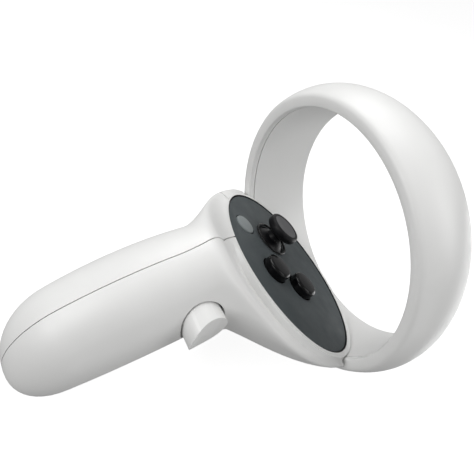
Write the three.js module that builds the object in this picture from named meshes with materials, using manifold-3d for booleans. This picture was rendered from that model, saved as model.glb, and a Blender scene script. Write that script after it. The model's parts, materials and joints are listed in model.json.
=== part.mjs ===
// VR motion controller: a hand grip, a head with a sloping faceplate, and a tracking ring.
// Millimetres. The controller is laid out upright first: X across the faceplate, Y to the front
// (the trigger side), Z up along the ring's axis, and the origin at the middle of the faceplate.
// A last group then lays it down the way it rests on a table.
import * as THREE from 'three';
import { mergeVertices } from 'three/addons/utils/BufferGeometryUtils.js';
import Module from 'manifold-3d';

const wasm = await Module();
wasm.setup();

// ---- driving dimensions -------------------------------------------------------------------

const RAD = Math.PI / 180;
const GAP = 0.3;                 // air between pieces that meet
const WALL = 1.9;                // moulded shell wall
const AROUND = 44;               // points round the body

const face = { halfX: 32.5, halfY: 24.7, lean: 57.3 * RAD, thick: 1.7, ledge: 2.0, rim: 1.7, rimHeight: 0.2 };
const ring = {
  back: 17.8, near: 3.3, width: 23.7, innerNear: 40, innerFar: 38.2,
  outerNear: 43.8, crown: 46.1, outerFar: 40.2, wall: 1.4, around: 60,
};
const grip = { end: -92.4, top: -38, radius: 16.9, flatten: 0.9, fullest: -58, capLength: 14.8 };
const spine = { start: -18.1, slope: 5.2, bend: 17, span: 80 };

const stick = { x: -12.5, y: -0.3, pivot: -5.6, domeRadius: 7.8, top: 7.6, capRadius: 6 };
const buttons = { radius: 4.7, rise: 3.3, flange: 5.6, lower: [1.9, -10], upper: [7.6, 1] };
const system = { x: -16.8, y: -12.4, radius: 3.7, rise: 0.35 };
const board = { halfX: 24, halfY: 16, top: -8.5, thick: 1.2 };
const faceScrews = [[18, 5.5], [-3, 12.2], [13.5, -8.8]];

const trigger = { pivotY: 18.5, pivotZ: -6, halfWidth: 7.5, pinRadius: 1.2 };
const key = {
  z: -42, halfWidth: 6, widestY: -12.8, back: 6.1, front: 10.4, pivotX: 9.6, pivotY: -6, gap: 0.6,
  scoop: 14,
};
const cell = { radius: 7.25, length: 50, x: -3, y: -5.5, z: -55.5, lean: 20.1 * RAD };
const cover = { edge: 0.15, frontTop: -12 };
const ringScrews = { angle: 22 * RAD, z: 11.5, from: 32.8, to: 42.6 };

// The way the controller lies on a table, on the ring and the front of the grip's end:
// turned about X, then Y, then Z.
const rest = { roll: -83.91 * RAD, pitch: 20.892 * RAD, yaw: -87.821 * RAD };

// ---- small helpers ------------------------------------------------------------------------

const faceFrame = new THREE.Matrix4().makeRotationX(face.lean);
const ringFrame = new THREE.Matrix4().makeTranslation(0, -ring.back, 0);

// The order of coordinates that lets an outline drawn in (Y, Z) be extruded along X.
const acrossFrame = new THREE.Matrix4().makeBasis(
  new THREE.Vector3(0, 1, 0), new THREE.Vector3(0, 0, 1), new THREE.Vector3(1, 0, 0));

function facePoint(x, y, height) {
  return new THREE.Vector3(x, y, height).applyMatrix4(faceFrame);
}

function solid(geometry, matrix) {
  const bare = geometry.clone();
  bare.deleteAttribute('normal');
  bare.deleteAttribute('uv');
  if (matrix) bare.applyMatrix4(matrix);
  const welded = mergeVertices(bare, 1e-4);
  return new wasm.Manifold(new wasm.Mesh({
    numProp: 3,
    vertProperties: new Float32Array(welded.attributes.position.array),
    triVerts: new Uint32Array(welded.index.array),
  }));
}

function geometryOf(manifold) {
  const mesh = manifold.getMesh();
  const geometry = new THREE.BufferGeometry();
  geometry.setAttribute('position', new THREE.BufferAttribute(mesh.vertProperties, 3));
  geometry.setIndex(new THREE.BufferAttribute(mesh.triVerts, 1));
  geometry.computeVertexNormals();
  return geometry;
}

// A closed skin over a stack of rings of points, listed from the bottom up.
function loft(rings) {
  const count = rings[0].length;
  const points = rings.flat();
  const faces = [];
  for (let level = 0; level + 1 < rings.length; level += 1) {
    for (let i = 0; i < count; i += 1) {
      const next = (i + 1) % count;
      const [a, b] = [level * count + i, level * count + next];
      faces.push(a, b, b + count, a, b + count, a + count);
    }
  }
  const middle = (list) => list.reduce((sum, p) => sum.add(p), new THREE.Vector3()).divideScalar(count);
  const bottom = points.push(middle(rings[0])) - 1;
  const top = points.push(middle(rings.at(-1))) - 1;
  const topRing = (rings.length - 1) * count;
  for (let i = 0; i < count; i += 1) {
    const next = (i + 1) % count;
    faces.push(bottom, next, i, top, topRing + i, topRing + next);
  }
  const geometry = new THREE.BufferGeometry().setFromPoints(points);
  geometry.setIndex(faces);
  return geometry;
}

function extrude(shape, depth, start = 0, options = {}) {
  const settings = { depth, bevelEnabled: false, curveSegments: 8, ...options };
  return new THREE.ExtrudeGeometry(shape, settings).translate(0, 0, start);
}

// An outline in (Y, Z), extruded from one X to another.
function extrudeAcross(shape, fromX, toX, options) {
  return extrude(shape, toX - fromX, fromX, options).applyMatrix4(acrossFrame);
}

// Settings for an extrusion whose edges are rounded without making it any wider.
function bevelled(size, depth, steps) {
  return {
    bevelEnabled: true, bevelSize: size, bevelThickness: depth, bevelOffset: -size, bevelSegments: steps,
  };
}

function ellipseShape(halfX, halfY) {
  return new THREE.Shape().absellipse(0, 0, halfX, halfY, 0, 2 * Math.PI);
}

// A turned piece about Z, from a list of [radius, height] pairs.
function turned(profile, segments = 40) {
  const points = profile.map(([r, z]) => new THREE.Vector2(r, z));
  return new THREE.LatheGeometry(points, segments).rotateX(Math.PI / 2);
}

// A closed profile that doesn't touch the axis ends where it starts.
function turnedRing(profile, segments = 40) {
  return turned([...profile, profile[0]], segments);
}

function rod(radius, fromZ, toZ, segments = 24) {
  return new THREE.CylinderGeometry(radius, radius, toZ - fromZ, segments)
    .rotateX(Math.PI / 2).translate(0, 0, (fromZ + toZ) / 2);
}

function box(x0, x1, y0, y1, z0, z1) {
  return new THREE.BoxGeometry(x1 - x0, y1 - y0, z1 - z0)
    .translate((x0 + x1) / 2, (y0 + y1) / 2, (z0 + z1) / 2);
}

class Helix extends THREE.Curve {
  constructor(radius, height, turns, endRadius = radius) {
    super();
    Object.assign(this, { radius, height, turns, endRadius });
  }

  getPoint(t, target = new THREE.Vector3()) {
    const angle = t * this.turns * 2 * Math.PI;
    const radius = this.radius + (this.endRadius - this.radius) * t;
    return target.set(radius * Math.cos(angle), radius * Math.sin(angle), this.height * t);
  }
}

function coil(radius, height, turns, wire, endRadius) {
  const path = new Helix(radius, height, turns, endRadius);
  const section = new THREE.Shape().absarc(0, 0, wire, 0, 2 * Math.PI);
  const steps = Math.round(turns * 10);
  return new THREE.ExtrudeGeometry(section, { steps, extrudePath: path, curveSegments: 3 });
}

function material(color, roughness, metalness = 0) {
  return new THREE.MeshStandardMaterial({ color, roughness, metalness });
}

const paint = {
  shell: () => material(0xe4e4e2, 0.55),
  ring: () => material(0xe6e6e4, 0.5),
  face: () => material(0x565d5f, 0.6),
  gloss: () => material(0x0b0b0c, 0.18),
  rubber: () => material(0x141415, 0.7),
  system: () => material(0x83888a, 0.5),
  inner: () => material(0x2b2d2f, 0.65),
  board: () => material(0x1d5a3a, 0.5),
  silicone: () => material(0xb9bdbb, 0.75),
  steel: () => material(0xb4b6b8, 0.3, 1),
  brass: () => material(0xc2a25a, 0.35, 1),
  wrap: () => material(0x3c6e8f, 0.4),
};

function piece(name, shape, look) {
  const geometry = shape.isBufferGeometry ? shape : geometryOf(shape);
  const mesh = new THREE.Mesh(geometry, look());
  mesh.name = name;
  return mesh;
}

// ---- the moulded body ---------------------------------------------------------------------

const bodyAngles = Array.from({ length: AROUND }, (_, i) => (i / AROUND) * 2 * Math.PI);

function spineY(z) {
  const s = -z / spine.span;
  return spine.start + spine.slope * s + spine.bend * s * s;
}

// The grip's radius swells gently at the palm and closes in a rounded end.
function gripRadius(z) {
  const swell = grip.radius - 0.9 * ((z - grip.fullest) / 20) ** 2;
  const into = Math.max(0, (grip.end + grip.capLength - z) / grip.capLength);
  return swell * (1 - into ** 2.38) ** (1 / 2.38);
}

function gripRing(z, inset) {
  const across = gripRadius(z) * grip.flatten - inset;
  const deep = gripRadius(z) - inset;
  return bodyAngles.map((a) => new THREE.Vector3(across * Math.cos(a), spineY(z) + deep * Math.sin(a), z));
}

// The head's shoulder: an arc under the ring in front, and a low ellipse round the faceplate behind.
// It is trimmed a little on the right.
const outerShoulder = {
  radius: 43.6, z: 2.9, halfX: 37.8, startY: 4.6, backY: -27, height: -1.8,
  lift: 2, dip: 0, trim: 1.7, drop: 45, leftDrop: 34,
};
const innerShoulder = {
  radius: 38, z: -4.5, halfX: 32.9, startY: -3.1, backY: -25, height: -3.4,
  lift: 0, dip: 0.4, trim: 1.2, drop: 30, leftDrop: 20,
};

// How far a point lies round to the head's left, from 0 at its middle to 1 at its side.
function leftward(a) {
  return THREE.MathUtils.smoothstep(-Math.cos(a), -0.2, 0.3);
}

function shoulderRing(shape) {
  return bodyAngles.map((a) => {
    const trim = shape.trim * Math.max(0, Math.cos(a));
    if (a <= Math.PI) {
      const turn = 30 * RAD + a * (2 / 3);
      const [x, y] = [shape.radius * Math.cos(turn) - trim, shape.radius * Math.sin(turn) - ring.back];
      return new THREE.Vector3(x, y, shape.z);
    }
    const back = Math.abs(Math.sin(a));
    const left = leftward(a) * back;
    const y = shape.startY + (shape.backY - shape.startY) * back;
    const height = shape.height + shape.lift * left - shape.dip * back;
    return facePoint((shape.halfX - 1.2 * left) * Math.cos(a) - trim, y, height);
  });
}

// Rings that flow from the shoulder down into the grip, along a smooth cubic at every angle.
function flankRings(upper, lower, shape, levels = 8) {
  const rings = [];
  for (let level = levels - 1; level > 0; level -= 1) {
    const t = level / levels;
    rings.push(bodyAngles.map((a, i) => {
      const back = Math.max(0, -Math.sin(a));
      const left = leftward(a);
      const drop = shape.drop + (shape.leftDrop - shape.drop) * left;
      const leave = new THREE.Vector3(0, 0, -drop).lerp(facePoint(0, -14 - 14 * left, 0), back);
      const arrive = new THREE.Vector3(0, 6, -20);
      const [t2, t3] = [t * t, t * t * t];
      return new THREE.Vector3()
        .addScaledVector(upper[i], 2 * t3 - 3 * t2 + 1)
        .addScaledVector(leave, t3 - 2 * t2 + t)
        .addScaledVector(lower[i], 3 * t2 - 2 * t3)
        .addScaledVector(arrive, t3 - t2);
    }));
  }
  return rings;
}

function faceRing(halfX, halfY, height) {
  return bodyAngles.map((a) => facePoint(halfX * Math.cos(a), halfY * Math.sin(a), height));
}

function gripRings(inset, endZ) {
  const rounded = [0.04, 0.14, 0.3, 0.5, 0.75, 1].map((t) => endZ + grip.capLength * t * t);
  const straight = [-70, -62, -54, -46, grip.top];
  return [...rounded, ...straight].map((z) => gripRing(z, inset));
}

function outerBody() {
  const shoulder = shoulderRing(outerShoulder);
  const rim = bodyAngles.map((a) => {
    const width = face.rim - 0.8 * leftward(a);
    return facePoint((face.halfX + width) * Math.cos(a), (face.halfY + width) * Math.sin(a), face.rimHeight);
  });
  const brow = rim.map((p, i) => p.clone().lerp(shoulder[i], 0.5)
    .addScaledVector(facePoint(0, 0, 1), 1.2 * Math.max(0, Math.sin(bodyAngles[i]))));
  const lower = gripRings(0, grip.end);
  return solid(loft([...lower, ...flankRings(shoulder, lower.at(-1), outerShoulder), shoulder, brow, rim]));
}

function bodyCavity() {
  const shoulder = shoulderRing(innerShoulder);
  const opening = [face.halfX - 2, face.halfY - 2];
  const lower = gripRings(WALL, grip.end + 2.4);
  return solid(loft([
    ...lower, ...flankRings(shoulder, lower.at(-1), innerShoulder), shoulder,
    faceRing(...opening, -face.ledge - 1.5), faceRing(...opening, 2),
  ]));
}

function faceWell() {
  const outline = ellipseShape(face.halfX, face.halfY);
  return solid(extrude(outline, 8, -face.ledge, { curveSegments: 32 }), faceFrame);
}

// Everything outside the ring's inner wall and above its near rim belongs to the ring.
function ringSpace() {
  const inner = ring.innerFar - GAP;
  return solid(turnedRing([
    [ring.innerNear - GAP, ring.near - GAP], [60, ring.near - GAP], [60, 60], [inner, 60],
    [inner, ring.near + ring.width],
  ], ring.around), ringFrame);
}

// The grip key is egg-shaped from the side: blunt at the palm and longer to the front.
function keyOutline(grow) {
  const half = key.halfWidth + grow;
  const outline = new THREE.Shape();
  outline.absellipse(key.widestY, key.z, key.back + grow, half, 0.5 * Math.PI, 1.5 * Math.PI);
  outline.absellipse(key.widestY, key.z, key.front + grow, half, -0.5 * Math.PI, 0.5 * Math.PI);
  outline.closePath();
  return outline;
}

function triggerWindow() {
  const side = trigger.halfWidth + 0.5;
  return solid(box(-side, side, 4, 40, -32.6, 0.4));
}

// The hollow leaves ribs standing that carry the two pins.
function hollow() {
  const ribs = [
    box(8.6, 10.8, 13, 30, -12, 0), box(-10.8, -8.6, 13, 30, -12, 0),
    box(7.2, 20, -9, -2.5, -51.6, -49.8), box(7.2, 20, -9, -2.5, -34.2, -32.4),
  ];
  return ribs.reduce((left, rib) => left.subtract(solid(rib)), bodyCavity());
}

function triggerPinAxis(radius, halfLength) {
  return rod(radius, -halfLength, halfLength).rotateY(Math.PI / 2)
    .translate(0, trigger.pivotY, trigger.pivotZ);
}

function keyPinAxis(radius, fromZ, toZ) {
  return rod(radius, fromZ, toZ).translate(key.pivotX, key.pivotY, 0);
}

// The screws that hold the ring point straight out from its axis.
function ringScrewFrame(side) {
  const turn = Math.PI / 2 + side * ringScrews.angle;
  return new THREE.Matrix4().makeTranslation(0, -ring.back, ringScrews.z)
    .multiply(new THREE.Matrix4().makeRotationZ(turn))
    .multiply(new THREE.Matrix4().makeRotationY(Math.PI / 2));
}

function ringScrewHoles() {
  return [-1, 1].map((side) => solid(rod(1.4, ringScrews.from, ringScrews.to + 1), ringScrewFrame(side)));
}

// The battery cover is the grip's left half, from its crown down round the end. Behind, its edge
// bends aside and runs up to the faceplate. In front it steps aside for the trigger.
function coverSpace(gap) {
  const [edge, up] = [cover.edge - gap, -gap];
  const behind = new THREE.Shape().moveTo(-60, 60).lineTo(-60, -120).lineTo(edge, -120).lineTo(edge, -45 + up)
    .quadraticCurveTo(edge - 0.8, -32.4 + up, edge - 4.4, -26.6 + up)
    .quadraticCurveTo(edge - 9.2, -24 + up, edge - 9.9, -18 + up).lineTo(edge - 9.9, 60);
  const ahead = new THREE.Shape().moveTo(-60, -120).lineTo(edge, -120).lineTo(edge, -44 + up)
    .quadraticCurveTo(edge, -38 + up, edge - 5, -38 + up).lineTo(edge - 9, -38 + up)
    .quadraticCurveTo(edge - 12, -38 + up, edge - 12, -34 + up).lineTo(edge - 12, cover.frontTop + up)
    .lineTo(-60, cover.frontTop + up);
  const standing = new THREE.Matrix4().makeRotationX(Math.PI / 2);
  return solid(extrude(behind, 80, 8 + gap), standing).add(solid(extrude(ahead, 80, -71.9 + gap), standing));
}

function mainShell(skin) {
  let shell = skin.subtract(coverSpace(0));
  const cuts = [
    ringSpace(), triggerWindow(), solid(extrudeAcross(keyOutline(key.gap), 6, 30)),
    solid(triggerPinAxis(trigger.pinRadius + GAP, 10.2)),
    solid(keyPinAxis(1.3, -51, -33)), ...ringScrewHoles(),
  ];
  for (const cut of cuts) shell = shell.subtract(cut);
  return shell;
}

function batteryCover(skin) {
  return skin.intersect(coverSpace(GAP)).subtract(ringSpace());
}

// ---- the ring -----------------------------------------------------------------------------

// The ring's outside bows out to a crown halfway between its two rims.
function outerBow(t, inset) {
  const bow = 2 * ring.crown - (ring.outerNear + ring.outerFar) / 2;
  const radius = ring.outerNear * (1 - t) ** 2 + 2 * bow * t * (1 - t) + ring.outerFar * t * t;
  return [radius - inset, ring.near + ring.width * t];
}

function ringOuterBand() {
  const far = ring.near + ring.width;
  const outside = [0.06, 0.22, 0.4, 0.6, 0.8, 0.97].map((t) => outerBow(t, 0));
  const inside = [0.85, 0.6, 0.35, 0.12].map((t) => outerBow(t, ring.wall));
  const lip = ring.near + 2;
  return turnedRing([
    [ring.innerNear - 0.1, lip], [ring.innerNear, ring.near + 0.7], [ring.innerNear + 0.7, ring.near],
    [ring.outerNear - 0.9, ring.near], ...outside, [ring.outerFar - 0.4, far],
    [ring.innerFar + 1.15, far], [ring.innerFar + 1.15, far - 0.8], ...inside, [ring.innerNear + 1.3, lip],
  ], ring.around);
}

function ringInnerBand() {
  const [near, far] = [ring.near + 2 + GAP, ring.near + ring.width];
  let band = solid(turnedRing([
    [ring.innerNear + 1.2, near], [ring.innerFar + 1.3, far - 3], [ring.innerFar + 0.8, far - 0.4],
    [ring.innerFar + 0.3, far - 0.1], [ring.innerFar, far - 0.6], [ring.innerNear - 0.15, near],
  ], ring.around), ringFrame);
  for (const hole of ringScrewHoles()) band = band.subtract(hole);
  return band;
}

function ringLedStrip() {
  const strip = solid(turnedRing([
    [42, 7.2], [42.5, 7.2], [42.1, 19], [41.6, 19],
  ], ring.around), ringFrame);
  return strip.subtract(solid(box(-26, 26, 0, 60, 0, 30)));
}

function ringScrew() {
  return turned([
    [0, ringScrews.from], [2, ringScrews.from], [2, ringScrews.from + 1.4], [1.1, ringScrews.from + 1.7],
    [1.1, ringScrews.to - 0.8], [0, ringScrews.to],
  ], 20);
}

// ---- the faceplate and its controls (drawn flat, with the outer face at height 0) -----------

function faceplate() {
  const [x, y] = [face.halfX - 0.45, face.halfY - 0.45];
  const edge = bevelled(0.35, 0.35, 2);
  edge.curveSegments = 20;
  let plate = solid(extrude(ellipseShape(x, y), face.thick - 0.7, 0.35 - face.thick, edge));
  for (const [bx, by] of faceScrews) {
    plate = plate.add(solid(rod(2.2, board.top + GAP, 0.4 - face.thick).translate(bx, by, 0)));
    plate = plate.subtract(solid(rod(1.25, -12, -3).translate(bx, by, 0)));
  }
  const opening = new THREE.SphereGeometry(stick.domeRadius + 0.35, 28, 18);
  plate = plate.subtract(solid(opening.translate(stick.x, stick.y, stick.pivot)));
  for (const [bx, by] of [buttons.lower, buttons.upper]) {
    plate = plate.subtract(solid(rod(buttons.radius + 0.35, -4, 2, 28).translate(bx, by, 0)));
  }
  return plate.subtract(solid(rod(system.radius + 0.4, -4, 2, 32).translate(system.x, system.y, 0)));
}

function stickCollar() {
  return turnedRing([[6, GAP], [6.8, GAP], [6.8, 0.8], [6.5, 1.05], [6.2, 0.9]], 32);
}

// Cap with a hollow top, a narrow waist and a dome that fills the opening below.
function thumbstickCap() {
  const profile = [[0, stick.top - 0.9], [2.2, stick.top - 0.75], [4.1, stick.top - 0.2]];
  profile.push([4.9, stick.top], [5.7, stick.top - 0.3], [stick.capRadius, stick.top - 1.1]);
  profile.push([5.9, stick.top - 2.5], [4.8, stick.top - 3.4], [3, stick.top - 3.8], [2.6, stick.top - 4.9]);
  const dome = (radius, degrees) => [
    radius * Math.sin(degrees * RAD), stick.pivot + radius * Math.cos(degrees * RAD)];
  for (const degrees of [22, 34, 46, 58]) profile.push(dome(stick.domeRadius, degrees));
  for (const degrees of [58, 44, 29, 14]) profile.push(dome(stick.domeRadius - 1, degrees));
  profile.push([1.1, 0.9], [1.1, -7.6], [0, -7.8]);
  return turned(profile.reverse(), 28);
}

function stickRocker() {
  const [low, high] = [stick.pivot - 0.9, stick.pivot + 0.9];
  const disc = solid(turnedRing([[1.4, low], [3.5, low], [3.5, high], [1.4, high]], 28));
  const pins = solid(rod(0.55, -5.1, 5.1, 12).rotateX(Math.PI / 2).translate(0, 0, stick.pivot));
  return disc.add(pins).subtract(solid(rod(1.4, -9, -3, 28)));
}

function stickYoke() {
  const [low, high] = [stick.pivot - 1.1, stick.pivot + 1.1];
  const band = solid(turnedRing([[3.9, low], [5.2, low], [5.2, high], [3.9, high]], 32));
  const pins = solid(rod(0.6, -7.2, 7.2, 12).rotateY(Math.PI / 2).translate(0, 0, stick.pivot));
  const pinHole = solid(rod(0.9, -6, 6, 12).rotateX(Math.PI / 2).translate(0, 0, stick.pivot));
  return band.add(pins.subtract(solid(rod(4.4, -9, 0, 32)))).subtract(pinHole);
}

function stickBase() {
  const [low, high] = [board.top + GAP, stick.pivot + 0.1];
  const cup = solid(turnedRing([[5.6, low], [8, low], [8, high], [5.6, high]], 36));
  return cup.subtract(solid(box(-7.6, 7.6, -0.95, 0.95, stick.pivot - 0.9, high + 1)));
}

function domedButton() {
  const { radius, rise, flange } = buttons;
  return turned([
    [0, -3.2], [flange, -3.2], [flange, -2.1], [radius, -2.1], [radius, rise - 1.5],
    [radius - 0.25, rise - 0.8], [radius - 0.9, rise - 0.3], [radius - 2, rise - 0.05], [0, rise],
  ], 28);
}

function systemButton() {
  const { radius, rise } = system;
  return turned([
    [0, -3.2], [radius + 0.9, -3.2], [radius + 0.9, -2.1], [radius, -2.1], [radius, rise - 0.3],
    [radius - 0.3, rise], [0, rise + 0.1],
  ], 32);
}

function buttonPad() {
  const [low, high] = [board.top + GAP, board.top + 1.1];
  const spots = [buttons.upper, buttons.lower, [system.x, system.y]];
  const domes = spots.map(([x, y]) => solid(turned([
    [0, low], [3.6, low], [3.6, high], [2.4, -4.8], [0, -4.6],
  ], 24).translate(x, y, 0)));
  const strips = [0, 1].map((i) => {
    const [[ax, ay], [bx, by]] = [spots[i], spots[i + 1]];
    const length = Math.hypot(bx - ax, by - ay);
    const strip = box(0, length, -2.2, 2.2, low, high).rotateZ(Math.atan2(by - ay, bx - ax));
    return solid(strip.translate(ax, ay, 0));
  });
  return [...domes, ...strips].reduce((all, part) => all.add(part));
}

function mainBoard() {
  const outline = ellipseShape(board.halfX, board.halfY);
  let plate = solid(extrude(outline, board.thick, board.top - board.thick, { curveSegments: 24 }));
  for (const [x, y] of faceScrews) plate = plate.subtract(solid(rod(1.4, -20, 0).translate(x, y, 0)));
  return plate;
}

function faceScrew() {
  const seat = board.top - board.thick - GAP;
  return turned([
    [0, seat - 1.2], [1.6, seat - 1.2], [2, seat - 0.8], [2, seat], [1, seat], [1, -4.2], [0, -3.6],
  ], 20);
}

// ---- trigger and grip key -------------------------------------------------------------------

function triggerLever() {
  const side = new THREE.Shape();
  side.moveTo(17, -2.2);
  side.quadraticCurveTo(23.5, -1.6, 25.2, -5.2);
  side.quadraticCurveTo(26, -8.5, 22.6, -13);
  side.quadraticCurveTo(17.6, -19.5, 14.6, -28);
  side.quadraticCurveTo(13.6, -31, 10.8, -31);
  side.quadraticCurveTo(8.4, -31, 8.2, -28.6);
  side.quadraticCurveTo(12, -20, 15, -10);
  side.closePath();
  const half = trigger.halfWidth - 0.9;
  let lever = solid(extrudeAcross(side, -half, half, bevelled(0.8, 0.9, 3)));
  lever = lever.subtract(solid(triggerPinAxis(trigger.pinRadius + GAP, 12)));
  return lever.subtract(solid(springPocket(), triggerSpringFrame()));
}

function springPocket() {
  return rod(3.1, 0, 9);
}

function triggerSpringFrame() {
  return new THREE.Matrix4().makeTranslation(4.4, trigger.pivotY, trigger.pivotZ)
    .multiply(new THREE.Matrix4().makeRotationY(Math.PI / 2));
}

function gripKey() {
  const outline = solid(extrudeAcross(keyOutline(0), 7, 26));
  const side = new THREE.Shape();
  side.moveTo(8.4, -16.5);
  side.quadraticCurveTo(8.4, -21, 12, -21);
  side.lineTo(22, -21);
  side.lineTo(22, 0);
  side.lineTo(9.6, 0);
  side.quadraticCurveTo(7.2, -2, 7.2, -7);
  side.closePath();
  const lean = new THREE.Matrix4().makeTranslation(17, 0, key.z)
    .multiply(new THREE.Matrix4().makeRotationY(-10 * RAD))
    .multiply(new THREE.Matrix4().makeTranslation(-17, 0, 0));
  let body = outline.intersect(solid(extrude(side, 30, -15), lean));
  const scoop = rod(key.scoop, -40, 40, 64).rotateX(Math.PI / 2).rotateZ(3 * RAD);
  body = body.subtract(solid(scoop.translate(31.6, key.widestY, 0), lean));
  body = body.subtract(solid(keyPinAxis(1.3, -60, -20)));
  return body.subtract(solid(rod(2.9, -1.6, 1.8).translate(key.pivotX, key.pivotY, key.z)));
}

// ---- battery and what holds it (drawn with the cell upright at the origin) -------------------

const tray = { inner: cell.radius + GAP, outer: cell.radius + 1.5, low: -27.9, high: 27.2, endWall: 0.9 };

function batteryTray() {
  const section = new THREE.Shape();
  section.absarc(0, 0, tray.outer, -0.5 * Math.PI, 0.5 * Math.PI);
  section.absarc(0, 0, tray.inner, 0.5 * Math.PI, -0.5 * Math.PI, true);
  section.closePath();
  const end = new THREE.Shape().absarc(0, 0, tray.outer, -0.5 * Math.PI, 0.5 * Math.PI).closePath();
  const trough = solid(extrude(section, tray.high - tray.low, tray.low, { curveSegments: 16 }));
  const floor = solid(extrude(end, tray.endWall, tray.low, { curveSegments: 16 }));
  const roof = solid(extrude(end, tray.endWall, tray.high - tray.endWall, { curveSegments: 16 }));
  return trough.add(floor).add(roof);
}

function batteryCell() {
  const half = cell.length / 2;
  return turned([
    [0, -half], [5.6, -half], [6.9, -half + 0.4], [cell.radius, -half + 1], [cell.radius, half - 2],
    [6.7, half - 1.3], [2.8, half - 1.2], [2.8, half - 0.3], [2.4, half], [0, half],
  ], 32);
}

function topContact() {
  return extrude(roundedRect(5, 8, 1), 0.5, tray.high - tray.endWall - GAP - 0.5).translate(1.5, 0, 0);
}

function springContact() {
  return coil(3.8, 0.85, 1.5, 0.28, 2.4).translate(0, 0, tray.low + tray.endWall + 0.6);
}

function roundedRect(width, height, corner) {
  const [x, y] = [width / 2, height / 2];
  return new THREE.Shape()
    .moveTo(-x + corner, -y).lineTo(x - corner, -y).quadraticCurveTo(x, -y, x, -y + corner)
    .lineTo(x, y - corner).quadraticCurveTo(x, y, x - corner, y)
    .lineTo(-x + corner, y).quadraticCurveTo(-x, y, -x, y - corner)
    .lineTo(-x, -y + corner).quadraticCurveTo(-x, -y, -x + corner, -y);
}

// ---- put it together ------------------------------------------------------------------------

const upright = new THREE.Group();
const faceGroup = new THREE.Group();
faceGroup.rotation.x = face.lean;
upright.add(faceGroup);

const skin = outerBody().subtract(hollow()).subtract(faceWell());
upright.add(piece('main_shell', mainShell(skin), paint.shell));
upright.add(piece('battery_cover', batteryCover(skin), paint.shell));

upright.add(piece('ring_outer_band', solid(ringOuterBand(), ringFrame), paint.ring));
upright.add(piece('ring_inner_band', ringInnerBand(), paint.ring));
upright.add(piece('ring_led_strip', ringLedStrip(), paint.board));
for (const [name, side] of [['ring_screw_right', -1], ['ring_screw_left', 1]]) {
  upright.add(piece(name, solid(ringScrew(), ringScrewFrame(side)), paint.steel));
}

function addToFace(name, shape, look, x = 0, y = 0) {
  const mesh = piece(name, shape, look);
  mesh.position.set(x, y, 0);
  faceGroup.add(mesh);
}

addToFace('faceplate', faceplate(), paint.face);
addToFace('stick_collar', stickCollar(), paint.gloss, stick.x, stick.y);
addToFace('thumbstick_cap', thumbstickCap(), paint.rubber, stick.x, stick.y);
addToFace('stick_rocker', stickRocker(), paint.inner, stick.x, stick.y);
addToFace('stick_yoke', stickYoke(), paint.steel, stick.x, stick.y);
addToFace('stick_base', stickBase(), paint.inner, stick.x, stick.y);
addToFace('lower_button', domedButton(), paint.gloss, ...buttons.lower);
addToFace('upper_button', domedButton(), paint.gloss, ...buttons.upper);
addToFace('system_button', systemButton(), paint.system, system.x, system.y);
addToFace('button_pad', buttonPad(), paint.silicone);
addToFace('main_board', mainBoard(), paint.board);
faceScrews.forEach(([x, y], i) => addToFace(`face_screw_${i + 1}`, faceScrew(), paint.steel, x, y));
addToFace('haptic_motor', rod(4.2, -15.6, -12.4, 28), paint.steel, 12.8, -6.8);

upright.add(piece('trigger_lever', triggerLever(), paint.shell));
upright.add(piece('trigger_pin', triggerPinAxis(trigger.pinRadius, 9.8), paint.steel));
const pullSpring = coil(2.2, 2, 2.5, 0.28).translate(0, 0, 0.6).applyMatrix4(triggerSpringFrame());
upright.add(piece('trigger_spring', pullSpring, paint.steel));
upright.add(piece('grip_button', gripKey(), paint.shell));
upright.add(piece('grip_pin', keyPinAxis(1, -50.6, -33.4), paint.steel));
const squeezeSpring = coil(2.1, 1.9, 2.5, 0.28).translate(key.pivotX, key.pivotY, key.z - 0.9);
upright.add(piece('grip_spring', squeezeSpring, paint.steel));

const cellGroup = new THREE.Group();
cellGroup.position.set(cell.x, cell.y, cell.z);
cellGroup.rotation.x = cell.lean;
upright.add(cellGroup);
cellGroup.add(piece('battery_tray', batteryTray(), paint.inner));
cellGroup.add(piece('aa_battery', batteryCell(), paint.wrap));
cellGroup.add(piece('top_contact', topContact(), paint.brass));
cellGroup.add(piece('spring_contact', springContact(), paint.steel));

// Lying down, with the origin under the middle of the whole, on the surface it rests on.
upright.rotation.set(rest.roll, rest.pitch, rest.yaw, 'ZYX');
const extent = new THREE.Box3().setFromObject(upright, true);
const middle = extent.getCenter(new THREE.Vector3());
upright.position.set(-middle.x, -middle.y, -extent.min.z);
const group = new THREE.Group();
group.add(upright);

export default group;
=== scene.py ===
import json
import math

import bpy
from mathutils import Euler, Matrix, Vector


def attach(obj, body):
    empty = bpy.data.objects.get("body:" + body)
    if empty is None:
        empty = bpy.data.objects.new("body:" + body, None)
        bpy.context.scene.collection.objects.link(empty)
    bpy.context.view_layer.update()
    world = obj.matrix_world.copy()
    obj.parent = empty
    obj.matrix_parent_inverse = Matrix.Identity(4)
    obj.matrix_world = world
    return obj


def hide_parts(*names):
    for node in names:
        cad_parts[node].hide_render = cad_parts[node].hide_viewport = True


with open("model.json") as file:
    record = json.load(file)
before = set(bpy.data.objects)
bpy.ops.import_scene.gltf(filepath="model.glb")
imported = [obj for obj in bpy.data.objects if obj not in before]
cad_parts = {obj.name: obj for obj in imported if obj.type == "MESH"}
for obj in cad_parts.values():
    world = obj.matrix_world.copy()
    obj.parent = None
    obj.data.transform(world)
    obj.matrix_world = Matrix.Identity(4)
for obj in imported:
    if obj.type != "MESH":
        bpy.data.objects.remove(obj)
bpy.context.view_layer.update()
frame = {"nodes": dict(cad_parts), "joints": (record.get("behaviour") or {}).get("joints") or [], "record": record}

# ---- driving dimensions, in millimetres ------------------------------------------------------

MM = 0.001
GAP = 0.3
WALL = 1.9
AROUND = 96

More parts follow.
